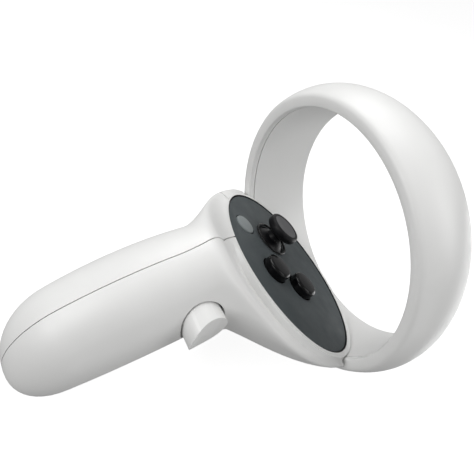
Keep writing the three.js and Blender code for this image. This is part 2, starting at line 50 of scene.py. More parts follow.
LEAN = math.radians(57.3)
FACE_X, FACE_Y, FACE_THICK, LEDGE = 32.5, 24.7, 1.7, 2.0
RIM_WIDTH, RIM_HEIGHT = 1.7, 0.2

RING_BACK, RING_NEAR, RING_WIDTH = 17.8, 3.3, 23.7
INNER_NEAR, INNER_FAR = 40, 38.2
OUTER_NEAR, CROWN, OUTER_FAR = 43.8, 46.1, 40.2
RING_FAR = RING_NEAR + RING_WIDTH
RING_WALL = 1.4

GRIP_END, GRIP_TOP, GRIP_RADIUS, GRIP_FLATTEN = -92.4, -38, 16.9, 0.9
GRIP_FULLEST, GRIP_CAP, GRIP_ROUNDING = -58, 14.8, 2.38
SPINE_START, SPINE_SLOPE, SPINE_BEND, SPINE_SPAN = -18.1, 5.2, 17, 80

STICK_X, STICK_Y, STICK_PIVOT, STICK_TOP = -12.5, -0.3, -5.6, 7.6
DOME_RADIUS, CAP_RADIUS, DISH_RADIUS = 7.8, 6, 4.7
COLLAR_BORE, COLLAR_OUTER, COLLAR_HEIGHT = 6.25, 6.8, 0.65
BUTTON_RADIUS, BUTTON_RISE, FLANGE = 4.7, 3.3, 5.6
LOWER_BUTTON, UPPER_BUTTON = (1.9, -10), (7.6, 1)
SYSTEM_X, SYSTEM_Y, SYSTEM_RADIUS, SYSTEM_RISE = -16.8, -12.4, 3.7, 0.35
SCREW_POSTS = ((18, 5.5), (-3, 12.2), (13.5, -8.8))

TRIGGER_PIVOT_Y, TRIGGER_PIVOT_Z, TRIGGER_HALF, TRIGGER_SIDE_GAP = 18.5, -6, 7.5, 0.5
WINDOW_BACK, WINDOW_FRONT, WINDOW_LOW, WINDOW_HIGH = 4, 40, -32.6, 0.4
KEY_Z, KEY_HALF, KEY_Y, KEY_BACK, KEY_FRONT = -42, 6, -12.8, 6.1, 10.4
KEY_PIVOT_X, KEY_PIVOT_Y, KEY_GAP = 9.6, -6, 0.6
KEY_LEAN_X, KEY_LEAN = 17, math.radians(-10)
KEY_SCOOP, KEY_SCOOP_X, KEY_SCOOP_TILT = 14, 31.6, math.radians(3)
COVER_EDGE, COVER_FRONT_TOP = 0.15, -12
CELL_RADIUS, CELL_LENGTH, CELL_AT, CELL_LEAN = 7.25, 50, (-3, -5.5, -55.5), math.radians(20.1)

# Low and high corners of the ribs: one at each side of the trigger, one below and above the key.
PIN_RIBS = (((8.6, 13, -12), (10.8, 30, 0)), ((-10.8, 13, -12), (-8.6, 30, 0)),
            ((7.2, -9, -51.6), (20, -2.5, -49.8)), ((7.2, -9, -34.2), (20, -2.5, -32.4)))

# The turns that lay the controller down, about X, then Y, then Z.
REST = Euler([math.radians(a) for a in (-83.91, 20.892, -87.821)], "XYZ").to_matrix().to_4x4()

ON_FACE = Matrix.Rotation(LEAN, 4, "X")
ON_RING = Matrix.Translation((0, -RING_BACK, 0))
ON_CELL = Matrix.Translation(CELL_AT) @ Matrix.Rotation(CELL_LEAN, 4, "X")
ALONG_X = Matrix(((0, 0, 1, 0), (1, 0, 0, 0), (0, 1, 0, 0), (0, 0, 0, 1)))


def laid_down():
    """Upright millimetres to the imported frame's metres, found from the trigger's hinge."""
    hinge = next(j for j in frame["joints"] if j["name"] == "trigger_pull")
    turned = REST @ Matrix.Diagonal((MM, MM, MM, 1))
    pivot = turned @ Vector((0, TRIGGER_PIVOT_Y, TRIGGER_PIVOT_Z))
    return Matrix.Translation(Vector(hinge["pos_m"]) - pivot) @ turned


LAID_DOWN = laid_down()

# ---- modelling helpers -----------------------------------------------------------------------


def only(obj):
    bpy.ops.object.select_all(action="DESELECT")
    obj.select_set(True)
    bpy.context.view_layer.objects.active = obj
    return obj


def editing(obj):
    only(obj)
    bpy.ops.object.mode_set(mode="EDIT")
    bpy.ops.mesh.select_all(action="SELECT")


def close_up(obj):
    """Merges doubles and turns every face outwards."""
    editing(obj)
    bpy.ops.mesh.remove_doubles(threshold=1e-4)
    bpy.ops.mesh.normals_make_consistent(inside=False)
    bpy.ops.object.mode_set(mode="OBJECT")
    return obj


def modify(obj, kind, **settings):
    only(obj)
    modifier = obj.modifiers.new(kind.lower(), kind)
    for key, value in settings.items():
        setattr(modifier, key, value)
    bpy.ops.object.modifier_apply(modifier=modifier.name)
    return obj


def rounded(obj, width, segments=3, angle=35):
    return modify(obj, "BEVEL", width=width, segments=segments, limit_method="ANGLE",
                  angle_limit=math.radians(angle), harden_normals=False)


def placed(obj, matrix):
    obj.matrix_world = matrix
    only(obj)
    bpy.ops.object.transform_apply(location=True, rotation=True, scale=True)
    return obj


def join(obj, others, operation):
    """Adds to a piece, cuts from it, or keeps what it shares with the others."""
    for other in others:
        modify(obj, "BOOLEAN", object=other, operation=operation, solver="EXACT")
        bpy.data.objects.remove(other)
    return obj


def cut(obj, *others):
    return join(obj, others, "DIFFERENCE")


def add(obj, *others):
    return join(obj, others, "UNION")


def common(obj, *others):
    return join(obj, others, "INTERSECT")


def copy_of(obj):
    twin = obj.copy()
    twin.data = obj.data.copy()
    bpy.context.scene.collection.objects.link(twin)
    return twin


def arc(centre, radius, start, end, steps):
    """Points of a circle's arc, between two angles in degrees."""
    angles = [math.radians(start + (end - start) * i / steps) for i in range(steps + 1)]
    return [(centre[0] + radius * math.cos(a), centre[1] + radius * math.sin(a)) for a in angles]


def spun(name, profile, steps=AROUND):
    """A chain of (radius, height) points, drawn by extruding one vertex, spun about Z."""
    bpy.ops.object.select_all(action="DESELECT")
    bpy.ops.mesh.primitive_plane_add(size=1)
    obj = bpy.context.object
    obj.name = name
    editing(obj)
    bpy.ops.mesh.merge(type="CENTER")
    bpy.ops.transform.translate(value=(profile[0][0], 0, profile[0][1]))
    for (r0, z0), (r1, z1) in zip(profile, profile[1:]):
        bpy.ops.mesh.extrude_region_move(TRANSFORM_OT_translate={"value": (r1 - r0, 0, z1 - z0)})
    bpy.ops.mesh.select_all(action="SELECT")
    bpy.ops.mesh.spin(steps=steps, angle=2 * math.pi, center=(0, 0, 0), axis=(0, 0, 1))
    bpy.ops.object.mode_set(mode="OBJECT")
    return close_up(obj)


def slab(name, outline, low, high):
    """An outline in (X, Y), filled and extruded from one height to another."""
    bpy.ops.object.select_all(action="DESELECT")
    bpy.ops.mesh.primitive_circle_add(vertices=len(outline), fill_type="NGON")
    obj = bpy.context.object
    obj.name = name
    for vertex, (x, y) in zip(obj.data.vertices, outline):
        vertex.co = (x, y, low)
    editing(obj)
    bpy.ops.mesh.extrude_region_move(TRANSFORM_OT_translate={"value": (0, 0, high - low)})
    bpy.ops.object.mode_set(mode="OBJECT")
    return close_up(obj)


def block(low, high):
    """A plain block, for cutting and for ribs."""
    middle = [(a + b) / 2 for a, b in zip(low, high)]
    bpy.ops.object.select_all(action="DESELECT")
    bpy.ops.mesh.primitive_cube_add(size=1, location=middle)
    obj = bpy.context.object
    obj.scale = [b - a for a, b in zip(low, high)]
    bpy.ops.object.transform_apply(location=True, rotation=True, scale=True)
    return obj


def rod(radius, low, high, matrix=None, vertices=48):
    """A round bar about Z, for cutting holes."""
    bpy.ops.object.select_all(action="DESELECT")
    bpy.ops.mesh.primitive_cylinder_add(vertices=vertices, radius=radius, depth=high - low)
    obj = bpy.context.object
    obj.location = (0, 0, (low + high) / 2)
    bpy.ops.object.transform_apply(location=True, rotation=True, scale=True)
    return placed(obj, matrix) if matrix else obj


def rolled(name, rings):
    """A grid rolled up into a closed skin over a stack of rings of points, from the bottom up."""
    count, levels = len(rings[0]), len(rings)
    bpy.ops.object.select_all(action="DESELECT")
    bpy.ops.mesh.primitive_grid_add(x_subdivisions=count, y_subdivisions=levels - 1, size=1)
    obj = bpy.context.object
    obj.name = name
    for i, vertex in enumerate(obj.data.vertices):
        level, step = divmod(i, count + 1)
        vertex.co = rings[level][step % count]
    close_up(obj)
    editing(obj)
    bpy.ops.mesh.select_all(action="DESELECT")
    bpy.ops.mesh.select_non_manifold()
    bpy.ops.mesh.fill_holes(sides=0)
    bpy.ops.object.mode_set(mode="OBJECT")
    return close_up(obj)


def paint_faces(obj, looks, choose):
    """Gives a piece its materials, and each face the one that choose picks from its centre."""
    obj.data.materials.clear()
    for look in looks:
        obj.data.materials.append(look)
    for face in obj.data.polygons:
        face.material_index = choose(face.center, face.normal)


def finished(obj, name, look, body, slot, *nodes, smooth=32):
    """Lays a piece down in the frame, smooths it, names it, gives it its look if one is given, hangs it on its
    body and hides the parts it replaces.
    """
    obj.name = name
    if look is not None:
        obj.data.materials.clear()
        obj.data.materials.append(look)
    placed(obj, LAID_DOWN)
    bpy.ops.object.shade_smooth_by_angle(angle=math.radians(smooth))
    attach(obj, body)
    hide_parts(*nodes)
    return obj


# ---- materials -------------------------------------------------------------------------------


def plastic(name, colour, roughness, grain=0.35, depth=0.03, mottle=0.03, coat=0.0, metallic=0.0,
            wear=0.06, specular=0.5):
    """A finish with fine grain, faint cloudiness, uneven gloss and lightly rubbed edges."""
    look = bpy.data.materials.new(name)
    look.use_nodes = True
    nodes, link = look.node_tree.nodes, look.node_tree.links.new
    shader = nodes["Principled BSDF"]
    shader.inputs["Metallic"].default_value = metallic
    shader.inputs["Specular IOR Level"].default_value = specular
    shader.inputs["Coat Weight"].default_value = coat
    shader.inputs["Coat Roughness"].default_value = 0.08
    where = nodes.new("ShaderNodeTexCoord").outputs["Object"]

    def noise(size_mm, detail):
        node = nodes.new("ShaderNodeTexNoise")
        node.inputs["Scale"].default_value = 1 / (size_mm * MM)
        node.inputs["Detail"].default_value = detail
        link(where, node.inputs["Vector"])
        return node.outputs["Fac"]

    def spread(value, low, high, start=0.3, end=0.7):
        node = nodes.new("ShaderNodeMapRange")
        for key, number in (("From Min", start), ("From Max", end), ("To Min", low), ("To Max", high)):
            node.inputs[key].default_value = number
        link(value, node.inputs["Value"])
        return node.outputs["Result"]

    def mixed(factor, first, second):
        node = nodes.new("ShaderNodeMix")
        node.data_type = "RGBA"
        link(factor, node.inputs["Factor"])
        for socket, value in ((node.inputs["A"], first), (node.inputs["B"], second)):
            if isinstance(value, tuple):
                socket.default_value = value
            else:
                link(value, socket)
        return node.outputs["Result"]

    darker = tuple(c * (1 - mottle) for c in colour) + (1,)
    lighter = tuple(min(1, c * (1 + mottle)) for c in colour) + (1,)
    clouded = mixed(spread(noise(14, 4), 0, 1), darker, lighter)
    rubbed = tuple(min(1, c * (1 + wear) + wear * 0.1) for c in colour) + (1,)
    edges = spread(nodes.new("ShaderNodeNewGeometry").outputs["Pointiness"], 0, 1, 0.53, 0.6)
    link(mixed(edges, clouded, rubbed), shader.inputs["Base Color"])
    link(spread(noise(5, 5), roughness * 0.88, roughness * 1.12), shader.inputs["Roughness"])
    bump = nodes.new("ShaderNodeBump")
    bump.inputs["Strength"].default_value = 0.25
    bump.inputs["Distance"].default_value = depth * MM
    link(noise(grain, 3), bump.inputs["Height"])
    link(bump.outputs["Normal"], shader.inputs["Normal"])
    return look


def shell_white():
    return plastic("satin_white_shell", (0.80, 0.80, 0.79), 0.42, grain=0.3, depth=0.02, mottle=0.015)


def ring_white():
    return plastic("satin_white_ring", (0.81, 0.81, 0.80), 0.4, grain=0.3, depth=0.02, mottle=0.012)


def slate():
    return plastic("slate_faceplate", (0.052, 0.063, 0.067), 0.6, grain=0.22, depth=0.03, mottle=0.06,
                   wear=0.25)


def polished_black():
    return plastic("polished_black", (0.003, 0.003, 0.0035), 0.12, grain=0.5, depth=0.006, mottle=0.2,
                   wear=0.4, specular=0.3)


def stick_rubber():
    return plastic("black_stick_rubber", (0.004, 0.004, 0.005), 0.4, grain=0.25, depth=0.03, mottle=0.2,
                   wear=0.6, specular=0.2)


def dish_grey():
    return plastic("grey_stick_dish", (0.13, 0.13, 0.135), 0.65, grain=0.25, depth=0.04, mottle=0.08)


def menu_grey():
    return plastic("grey_menu_button", (0.24, 0.265, 0.27), 0.5, grain=0.25, depth=0.02, mottle=0.05)


# Real black of the inner parts and the faceplate's underside; on the white shell's well round the faceplate it is
# painted shade.
def inner_black():
    return plastic("inner_black_and_well_painted_shade", (0.02, 0.021, 0.022), 0.55, grain=0.4, depth=0.04, mottle=0.15,
                   wear=0.5)


def board_green():
    return plastic("solder_mask_green", (0.012, 0.09, 0.045), 0.35, grain=1.2, depth=0.05, mottle=0.25,
                   coat=0.3)


def silicone():
    return plastic("soft_grey_silicone", (0.45, 0.47, 0.46), 0.7, grain=0.5, depth=0.03, mottle=0.05)


def steel():
    return plastic("bright_steel", (0.55, 0.56, 0.57), 0.28, grain=0.6, depth=0.02, mottle=0.08,
                   metallic=1.0, wear=0.2)


def brass():
    return plastic("plated_brass", (0.62, 0.43, 0.16), 0.3, grain=0.6, depth=0.02, mottle=0.1,
                   metallic=1.0, wear=0.2)


def cell_sleeve():
    return plastic("cell_sleeve_blue", (0.045, 0.15, 0.27), 0.3, grain=2.0, depth=0.02, mottle=0.06,
                   coat=0.4)


WHITE, RING_LOOK, SLATE, GLOSS = shell_white(), ring_white(), slate(), polished_black()
RUBBER, DISH, MENU, INNER = stick_rubber(), dish_grey(), menu_grey(), inner_black()
GREEN, SILICONE, STEEL, BRASS, SLEEVE = board_green(), silicone(), steel(), brass(), cell_sleeve()

# ---- the body: grip and head -----------------------------------------------------------------

ANGLES = [2 * math.pi * i / AROUND for i in range(AROUND)]


def face_point(x, y, height):
    return ON_FACE @ Vector((x, y, height))


def spine_y(z):
    s = -z / SPINE_SPAN
    return SPINE_START + SPINE_SLOPE * s + SPINE_BEND * s * s


def grip_radius(z):
    """The grip swells gently at the palm and closes in a rounded end."""
    swell = GRIP_RADIUS - 0.9 * ((z - GRIP_FULLEST) / 20) ** 2
    into = max(0, (GRIP_END + GRIP_CAP - z) / GRIP_CAP)
    return swell * (1 - into ** GRIP_ROUNDING) ** (1 / GRIP_ROUNDING)


def grip_ring(z, inset):
    across, deep = grip_radius(z) * GRIP_FLATTEN - inset, grip_radius(z) - inset
    return [Vector((across * math.cos(a), spine_y(z) + deep * math.sin(a), z)) for a in ANGLES]


def grip_rings(inset, end):
    rounded_end = [end + GRIP_CAP * (t / 12) ** 2 for t in range(1, 13)]
    straight = [-75 + 3.7 * step for step in range(10)] + [GRIP_TOP]
    return [grip_ring(z, inset) for z in rounded_end + straight]


def leftward(a):
    """How far a point lies round to the head's left, from 0 at its middle to 1 at its side."""
    t = min(1, max(0, (0.2 - math.cos(a)) / 0.5))
    return t * t * (3 - 2 * t)


def shoulder_ring(radius, z, half_x, start_y, back_y, height, lift, dip, trim):
    """An arc under the ring in front, a low half ellipse behind, and a trim on the right."""
    points = []
    for a in ANGLES:
        inward = trim * max(0, math.cos(a))
        if a <= math.pi:
            turn = math.radians(30) + a * 2 / 3
            points.append(Vector((radius * math.cos(turn) - inward, radius * math.sin(turn) - RING_BACK, z)))
        else:
            back = abs(math.sin(a))
            left = leftward(a) * back
            y = start_y + (back_y - start_y) * back
            x = (half_x - 1.2 * left) * math.cos(a) - inward
            points.append(face_point(x, y, height + lift * left - dip * back))
    return points


def flank_rings(upper, lower, right_drop, left_drop, levels=18):
    """Rings that flow from the shoulder down into the grip, along a smooth cubic at every angle."""
    rings = []
    arrive = Vector((0, 6, -20))
    for level in range(levels - 1, 0, -1):
        t = level / levels
        t2, t3 = t * t, t * t * t
        ring = []
        for a, top, bottom in zip(ANGLES, upper, lower):
            left = leftward(a)
            down = Vector((0, 0, -right_drop - (left_drop - right_drop) * left))
            leave = down.lerp(face_point(0, -14 - 14 * left, 0), max(0, -math.sin(a)))
            ring.append(top * (2 * t3 - 3 * t2 + 1) + leave * (t3 - 2 * t2 + t)
                        + bottom * (3 * t2 - 2 * t3) + arrive * (t3 - t2))
        rings.append(ring)
    return rings


def face_ring(half_x, half_y, height):
    return [face_point(half_x * math.cos(a), half_y * math.sin(a), height) for a in ANGLES]


def outer_body():
    shoulder = shoulder_ring(radius=43.6, z=2.9, half_x=37.8, start_y=4.6, back_y=-27, height=-1.8,
                             lift=2, dip=0, trim=1.7)
    widths = [RIM_WIDTH - 0.8 * leftward(a) for a in ANGLES]
    rim = [face_point((FACE_X + width) * math.cos(a), (FACE_Y + width) * math.sin(a), RIM_HEIGHT)
           for a, width in zip(ANGLES, widths)]
    up = face_point(0, 0, 1)
    brow = [p.lerp(q, 0.5) + up * 1.2 * max(0, math.sin(a)) for p, q, a in zip(rim, shoulder, ANGLES)]
    lower = grip_rings(0, GRIP_END)
    flank = flank_rings(shoulder, lower[-1], right_drop=45, left_drop=34)
    return rolled("body", lower + flank + [shoulder, brow, rim])


def body_cavity():
    shoulder = shoulder_ring(radius=38, z=-4.5, half_x=32.9, start_y=-3.1, back_y=-25, height=-3.4,
                             lift=0, dip=0.4, trim=1.2)
    lower = grip_rings(WALL, GRIP_END + 2.4)
    throat = [face_ring(FACE_X - 2, FACE_Y - 2, height) for height in (-LEDGE - 1.5, 2)]
    flank = flank_rings(shoulder, lower[-1], right_drop=30, left_drop=20)
    return rolled("cavity", lower + flank + [shoulder] + throat)


def ellipse(half_x, half_y, steps=128):
    return [(half_x * x, half_y * y) for x, y in arc((0, 0), 1, 0, 360 - 360 / steps, steps - 1)]


def face_well():
    return placed(slab("well", ellipse(FACE_X, FACE_Y), -LEDGE, 8), ON_FACE)


def ring_space():
    inner = INNER_FAR - GAP
    low = RING_NEAR - GAP
    profile = [(INNER_NEAR - GAP, low), (60, low), (60, 60), (inner, 60), (inner, RING_FAR)]
    return placed(spun("ring_space", profile + profile[:1], 128), ON_RING)


def key_outline(grow):
    """Egg-shaped from the side: blunt at the palm and longer to the front."""
    half = KEY_HALF + grow
    back = [((KEY_BACK + grow) * x, half * y) for x, y in arc((0, 0), 1, 90, 270, 32)]
    front = [((KEY_FRONT + grow) * x, half * y) for x, y in arc((0, 0), 1, -90, 90, 32)]
    return [(KEY_Y + x, KEY_Z + y) for x, y in back + front[1:-1]]


def key_opening():
    return placed(slab("key_opening", key_outline(KEY_GAP), 6, 30), ALONG_X)


def curve(points, control, end, steps=10):
    """Adds a quadratic curve to an outline, from its last point."""
    start = points[-1]
    for i in range(1, steps + 1):
        t = i / steps
        points.append(tuple(p * (1 - t) ** 2 + 2 * q * t * (1 - t) + r * t * t
                            for p, q, r in zip(start, control, end)))


def cover_edge_behind(edge, lift):
    """Behind, the cover's edge runs straight up the grip, then bends aside to the faceplate."""
    points = [(-60, 60), (-60, -120), (edge, -120), (edge, -45 + lift)]
    curve(points, (edge - 0.8, -32.4 + lift), (edge - 5.4, -27.2 + lift))
    curve(points, (edge - 8.2, -24.4 + lift), (edge - 9.5, -19 + lift))
    return points + [(edge - 9.5, 60)]


def cover_edge_ahead(edge, lift):
    """In front, the cover's edge steps aside for the trigger and ends below the ring."""
    points = [(-60, -120), (edge, -120), (edge, -44 + lift)]
    curve(points, (edge, -38 + lift), (edge - 5, -38 + lift))
    points.append((edge - 9, -38 + lift))
    curve(points, (edge - 12, -38 + lift), (edge - 12, -34 + lift))
    return points + [(edge - 12, COVER_FRONT_TOP + lift), (-60, COVER_FRONT_TOP + lift)]


def cover_space(gap):
    standing = Matrix.Rotation(math.pi / 2, 4, "X")
    behind = placed(slab("behind", cover_edge_behind(COVER_EDGE - gap, -gap), 8 + gap, 88), standing)
    ahead = placed(slab("ahead", cover_edge_ahead(COVER_EDGE - gap, -gap), -71.9, 8.1 + gap), standing)
    return add(behind, ahead)


def trigger_window():
    side = TRIGGER_HALF + TRIGGER_SIDE_GAP
    return block((-side, WINDOW_BACK, WINDOW_LOW), (side, WINDOW_FRONT, WINDOW_HIGH))


def hollow():
    """The cavity, which leaves ribs standing that carry the two pins."""
    return cut(body_cavity(), *[block(low, high) for low, high in PIN_RIBS])


def well_in_painted_shade(centre, normal):
    """Painted shade: the white shell's well round the faceplate is painted black down to its ledge, so the gap
    round the plate reads dark; the top of its rim stays white.
    """
    on_face = ON_FACE.inverted() @ centre
    in_well = (on_face.x / (FACE_X + 0.2)) ** 2 + (on_face.y / (FACE_Y + 0.2)) ** 2 < 1
    faces_up = (ON_FACE.inverted().to_3x3() @ normal).z > 0.5
    return int(in_well and on_face.z > -LEDGE - 1.2 and not (faces_up and on_face.z > 0))


def shell_and_cover():
    skin = cut(outer_body(), hollow(), face_well())
    cover = cut(common(copy_of(skin), cover_space(GAP)), ring_space())
    shell = cut(skin, cover_space(0))
    cut(shell, ring_space(), trigger_window(), key_opening())
    for obj in (shell, cover):
        # The well's faces take the black inner look as painted shade in the gap round the faceplate.
        paint_faces(obj, (WHITE, INNER), well_in_painted_shade)
    finished(shell, "grip_and_head_shell", None, "chassis", "shell_white", "main_shell", smooth=22)
    finished(cover, "sliding_cover", None, "battery_cover", "shell_white", "battery_cover")


# ---- the ring --------------------------------------------------------------------------------


def outer_bow(t, inset=0):
    """The ring's outside bows out to a crown halfway between its two rims."""
    bow = 2 * CROWN - (OUTER_NEAR + OUTER_FAR) / 2
    radius = OUTER_NEAR * (1 - t) ** 2 + 2 * bow * t * (1 - t) + OUTER_FAR * t * t
    return radius - inset, RING_NEAR + RING_WIDTH * t


def ring_band():
    lip = RING_NEAR + 2
    outside = [outer_bow(0.04 + 0.92 * i / 24) for i in range(25)]
    inside = [outer_bow(0.85 - 0.73 * i / 8, RING_WALL) for i in range(9)]
    profile = [(INNER_NEAR - 0.1, lip), (INNER_NEAR, RING_NEAR + 0.7), (INNER_NEAR + 0.25, RING_NEAR + 0.2),
               (INNER_NEAR + 0.7, RING_NEAR), (OUTER_NEAR - 0.9, RING_NEAR),
               (OUTER_NEAR - 0.2, RING_NEAR + 0.2)]
    profile += outside
    profile += [(OUTER_FAR + 0.1, RING_FAR - 0.25), (OUTER_FAR - 0.4, RING_FAR),
                (INNER_FAR + 1.15, RING_FAR), (INNER_FAR + 1.15, RING_FAR - 0.8)]
    profile += inside + [(INNER_NEAR + 1.3, lip), (INNER_NEAR - 0.1, lip)]
    band = placed(spun("ring_band", profile, 180), ON_RING)
    finished(band, "outer_ring_band", RING_LOOK, "chassis", "ring_white", "ring_outer_band")


def ring_lining():
    low, far = RING_NEAR + 2 + GAP, RING_FAR
    profile = [(INNER_NEAR + 1.2, low), (INNER_FAR + 1.3, far - 3), (INNER_FAR + 0.8, far - 0.4),
               (INNER_FAR + 0.3, far - 0.1), (INNER_FAR, far - 0.6), (INNER_NEAR - 0.15, low),
               (INNER_NEAR + 1.2, low)]
    lining = placed(spun("ring_lining", profile, 180), ON_RING)
    finished(lining, "inner_ring_lining", RING_LOOK, "chassis", "ring_white", "ring_inner_band")


# ---- the faceplate and its controls, drawn flat with the outer face at height 0 --------------


def faceplate():
    plate = slab("plate", ellipse(FACE_X - 0.45, FACE_Y - 0.45), -FACE_THICK, 0)
    rounded(plate, 0.3)
    posts = [Matrix.Translation((x, y, 0)) for x, y in SCREW_POSTS]
    add(plate, *[rod(2.2, -8.2, 0.4 - FACE_THICK, post) for post in posts])
    cut(plate, *[rod(1.25, -12, -3, post) for post in posts])
    bpy.ops.object.select_all(action="DESELECT")
    bpy.ops.mesh.primitive_uv_sphere_add(segments=64, ring_count=48, radius=DOME_RADIUS + 0.35,
                                         location=(STICK_X, STICK_Y, STICK_PIVOT))
    ball = bpy.context.object
    bpy.ops.object.transform_apply(location=True, rotation=True, scale=True)
    holes = [rod(BUTTON_RADIUS + 0.35, -4, 2, Matrix.Translation((x, y, 0)), 64)
             for x, y in (LOWER_BUTTON, UPPER_BUTTON)]
    menu = rod(SYSTEM_RADIUS + 0.35, -4, 2, Matrix.Translation((SYSTEM_X, SYSTEM_Y, 0)), 64)
    cut(plate, ball, *holes, menu)
    paint_faces(plate, (SLATE, INNER), lambda centre, normal: int(centre.z < -0.03))
    finished(placed(plate, ON_FACE), "slate_plate", None, "chassis", "face_grey", "faceplate")


def on_face_at(x, y):
    return ON_FACE @ Matrix.Translation((x, y, 0))


def stick_collar():
    """A thin ring with a rounded top, which stands on the faceplate round the stick."""
    middle, half = (COLLAR_BORE + COLLAR_OUTER) / 2, (COLLAR_OUTER - COLLAR_BORE) / 2
    top = arc((middle, COLLAR_HEIGHT), half, 0, 180, 12)
    profile = [(COLLAR_BORE, GAP), (COLLAR_OUTER, GAP)] + top + [(COLLAR_BORE, GAP)]
    collar = placed(spun("collar", profile, 96), on_face_at(STICK_X, STICK_Y))
    finished(collar, "glossy_stick_collar", GLOSS, "chassis", "gloss_black", "stick_collar")


def dome_points(radius, start, end, steps):
    return arc((0, STICK_PIVOT), radius, 90 - start, 90 - end, steps)


def thumbstick():
    """A cap with a hollow top, a narrow waist, and a dome that fills the opening below."""
    top = STICK_TOP
    dish = [(DISH_RADIUS * i / 8, top - 0.9 + 0.7 * (i / 8) ** 2) for i in range(9)]
    rim = [(4.9, top - 0.05), (5.2, top), (5.6, top - 0.15), (5.9, top - 0.55), (CAP_RADIUS, top - 1.1),
           (CAP_RADIUS, top - 1.9), (5.9, top - 2.5), (5.5, top - 3), (4.8, top - 3.4)]
    waist = [(3.8, top - 3.6), (3, top - 3.85), (2.65, top - 4.3), (2.6, top - 4.9)]
    under = [(1.1, 0.9), (1.1, -7.6), (0, -7.8)]
    profile = dish + rim + waist + dome_points(DOME_RADIUS, 22, 58, 10)
    profile += dome_points(DOME_RADIUS - 1, 58, 14, 8) + under
    stick = spun("stick", profile, 72)
    paint_faces(stick, (RUBBER, DISH), lambda centre, normal: int(
        math.hypot(centre.x, centre.y) < DISH_RADIUS and centre.z > top - 1.2))
    finished(placed(stick, on_face_at(STICK_X, STICK_Y)), "thumbstick_with_cap", None, "thumbstick",
             "stick_black", "thumbstick_cap")


def domed_button(name, body, node, x, y):
    r, rise = BUTTON_RADIUS, BUTTON_RISE
    edge = [(r - 1.3 + 1.3 * math.cos(math.radians(a)), rise - 1.15 + 0.95 * math.sin(math.radians(a)))
            for a in range(0, 91, 9)]
    crown = [(r - 1.3 - (r - 1.3) * i / 6, rise - 0.2 + 0.2 * (1 - (1 - i / 6) ** 2)) for i in range(1, 7)]
    profile = [(0, -3.2), (FLANGE, -3.2), (FLANGE, -2.1), (r, -2.1)] + edge + crown
    button = placed(spun("button", profile, 64), on_face_at(x, y))
    finished(button, name, GLOSS, body, "gloss_black", node)


def menu_button():
    r, rise = SYSTEM_RADIUS, SYSTEM_RISE
    profile = [(0, -3.2), (r + 0.9, -3.2), (r + 0.9, -2.1), (r, -2.1), (r, rise - 0.3), (r - 0.1, rise - 0.1),
               (r - 0.3, rise), (r - 1.2, rise + 0.06), (0, rise + 0.1)]
    button = placed(spun("menu", profile, 64), on_face_at(SYSTEM_X, SYSTEM_Y))
    finished(button, "flat_menu_button", MENU, "system_key", "button_grey", "system_button")


# ---- trigger and grip key --------------------------------------------------------------------


def trigger_outline():
    points = [(17, -2.2)]
    for control, end in (
            ((23.5, -1.6), (25.2, -5.2)), ((26, -8.5), (22.6, -13)), ((17.6, -19.5), (14.6, -28)),
            ((13.6, -31), (10.8, -31)), ((8.4, -31), (8.2, -28.6)), ((12, -20), (15, -10))):
        curve(points, control, end)
    return points


def trigger():
    lever = slab("lever", trigger_outline(), -TRIGGER_HALF, TRIGGER_HALF)
    rounded(lever, 0.9, segments=4, angle=50)
    placed(lever, ALONG_X)
    across = Matrix.Translation((0, TRIGGER_PIVOT_Y, TRIGGER_PIVOT_Z)) @ Matrix.Rotation(math.pi / 2, 4, "Y")
    pocket = Matrix.Translation((4.4, 0, 0)) @ across
    cut(lever, rod(1.5, -12, 12, across), rod(3.1, 0, 9, pocket))
    finished(lever, "index_trigger", WHITE, "trigger", "shell_white", "trigger_lever", smooth=40)


def key_side():
    points = [(8.4, -16.5)]
    curve(points, (8.4, -21), (12, -21))
    points += [(22, -21), (22, 0), (9.6, 0)]
    curve(points, (7.2, -2), (7.2, -7))
    return points


def grip_key():
    key = placed(slab("key", key_outline(0), 7, 26), ALONG_X)
    lean = (Matrix.Translation((KEY_LEAN_X, 0, KEY_Z)) @ Matrix.Rotation(KEY_LEAN, 4, "Y")
            @ Matrix.Translation((-KEY_LEAN_X, 0, 0)))
    common(key, placed(slab("side", key_side(), -15, 15), lean))
    scoop = (lean @ Matrix.Translation((KEY_SCOOP_X, KEY_Y, 0)) @ Matrix.Rotation(KEY_SCOOP_TILT, 4, "Z")
             @ Matrix.Rotation(math.pi / 2, 4, "X"))
    cut(key, rod(KEY_SCOOP, -40, 40, scoop, 128))
    rounded(key, 0.35, segments=2, angle=40)
    pin = Matrix.Translation((KEY_PIVOT_X, KEY_PIVOT_Y, 0))
    cut(key, rod(1.3, -60, -20, pin), rod(2.9, KEY_Z - 1.6, KEY_Z + 1.8, pin))
    finished(key, "side_grip_key", WHITE, "grip_key", "shell_white", "grip_button", smooth=28)


# ---- what is inside --------------------------------------------------------------------------


def battery():
    half, r = CELL_LENGTH / 2, CELL_RADIUS
    profile = [(0, -half), (5.4, -half), (5.7, -half + 0.15), (6.6, -half + 0.3)]
    profile += arc((r - 0.8, -half + 1.1), 0.8, -90, 0, 6)
    profile += arc((r - 0.8, half - 2.1), 0.8, 0, 90, 6)
    profile += [(2.9, half - 1.25), (2.75, half - 1.1), (2.75, half - 0.35), (2.4, half), (0, half)]
    cell = spun("cell", profile, 64)

    def choose(centre, normal):
        radius = math.hypot(centre.x, centre.y)
        if radius < 5.8 or abs(centre.z) > half - 0.6:
            return 1
        return 2 if centre.z > half - 14 else 0

    paint_faces(cell, (SLEEVE, STEEL, BRASS), choose)
    finished(placed(cell, ON_CELL), "aa_cell", None, "chassis", "cell_wrap", "aa_battery")


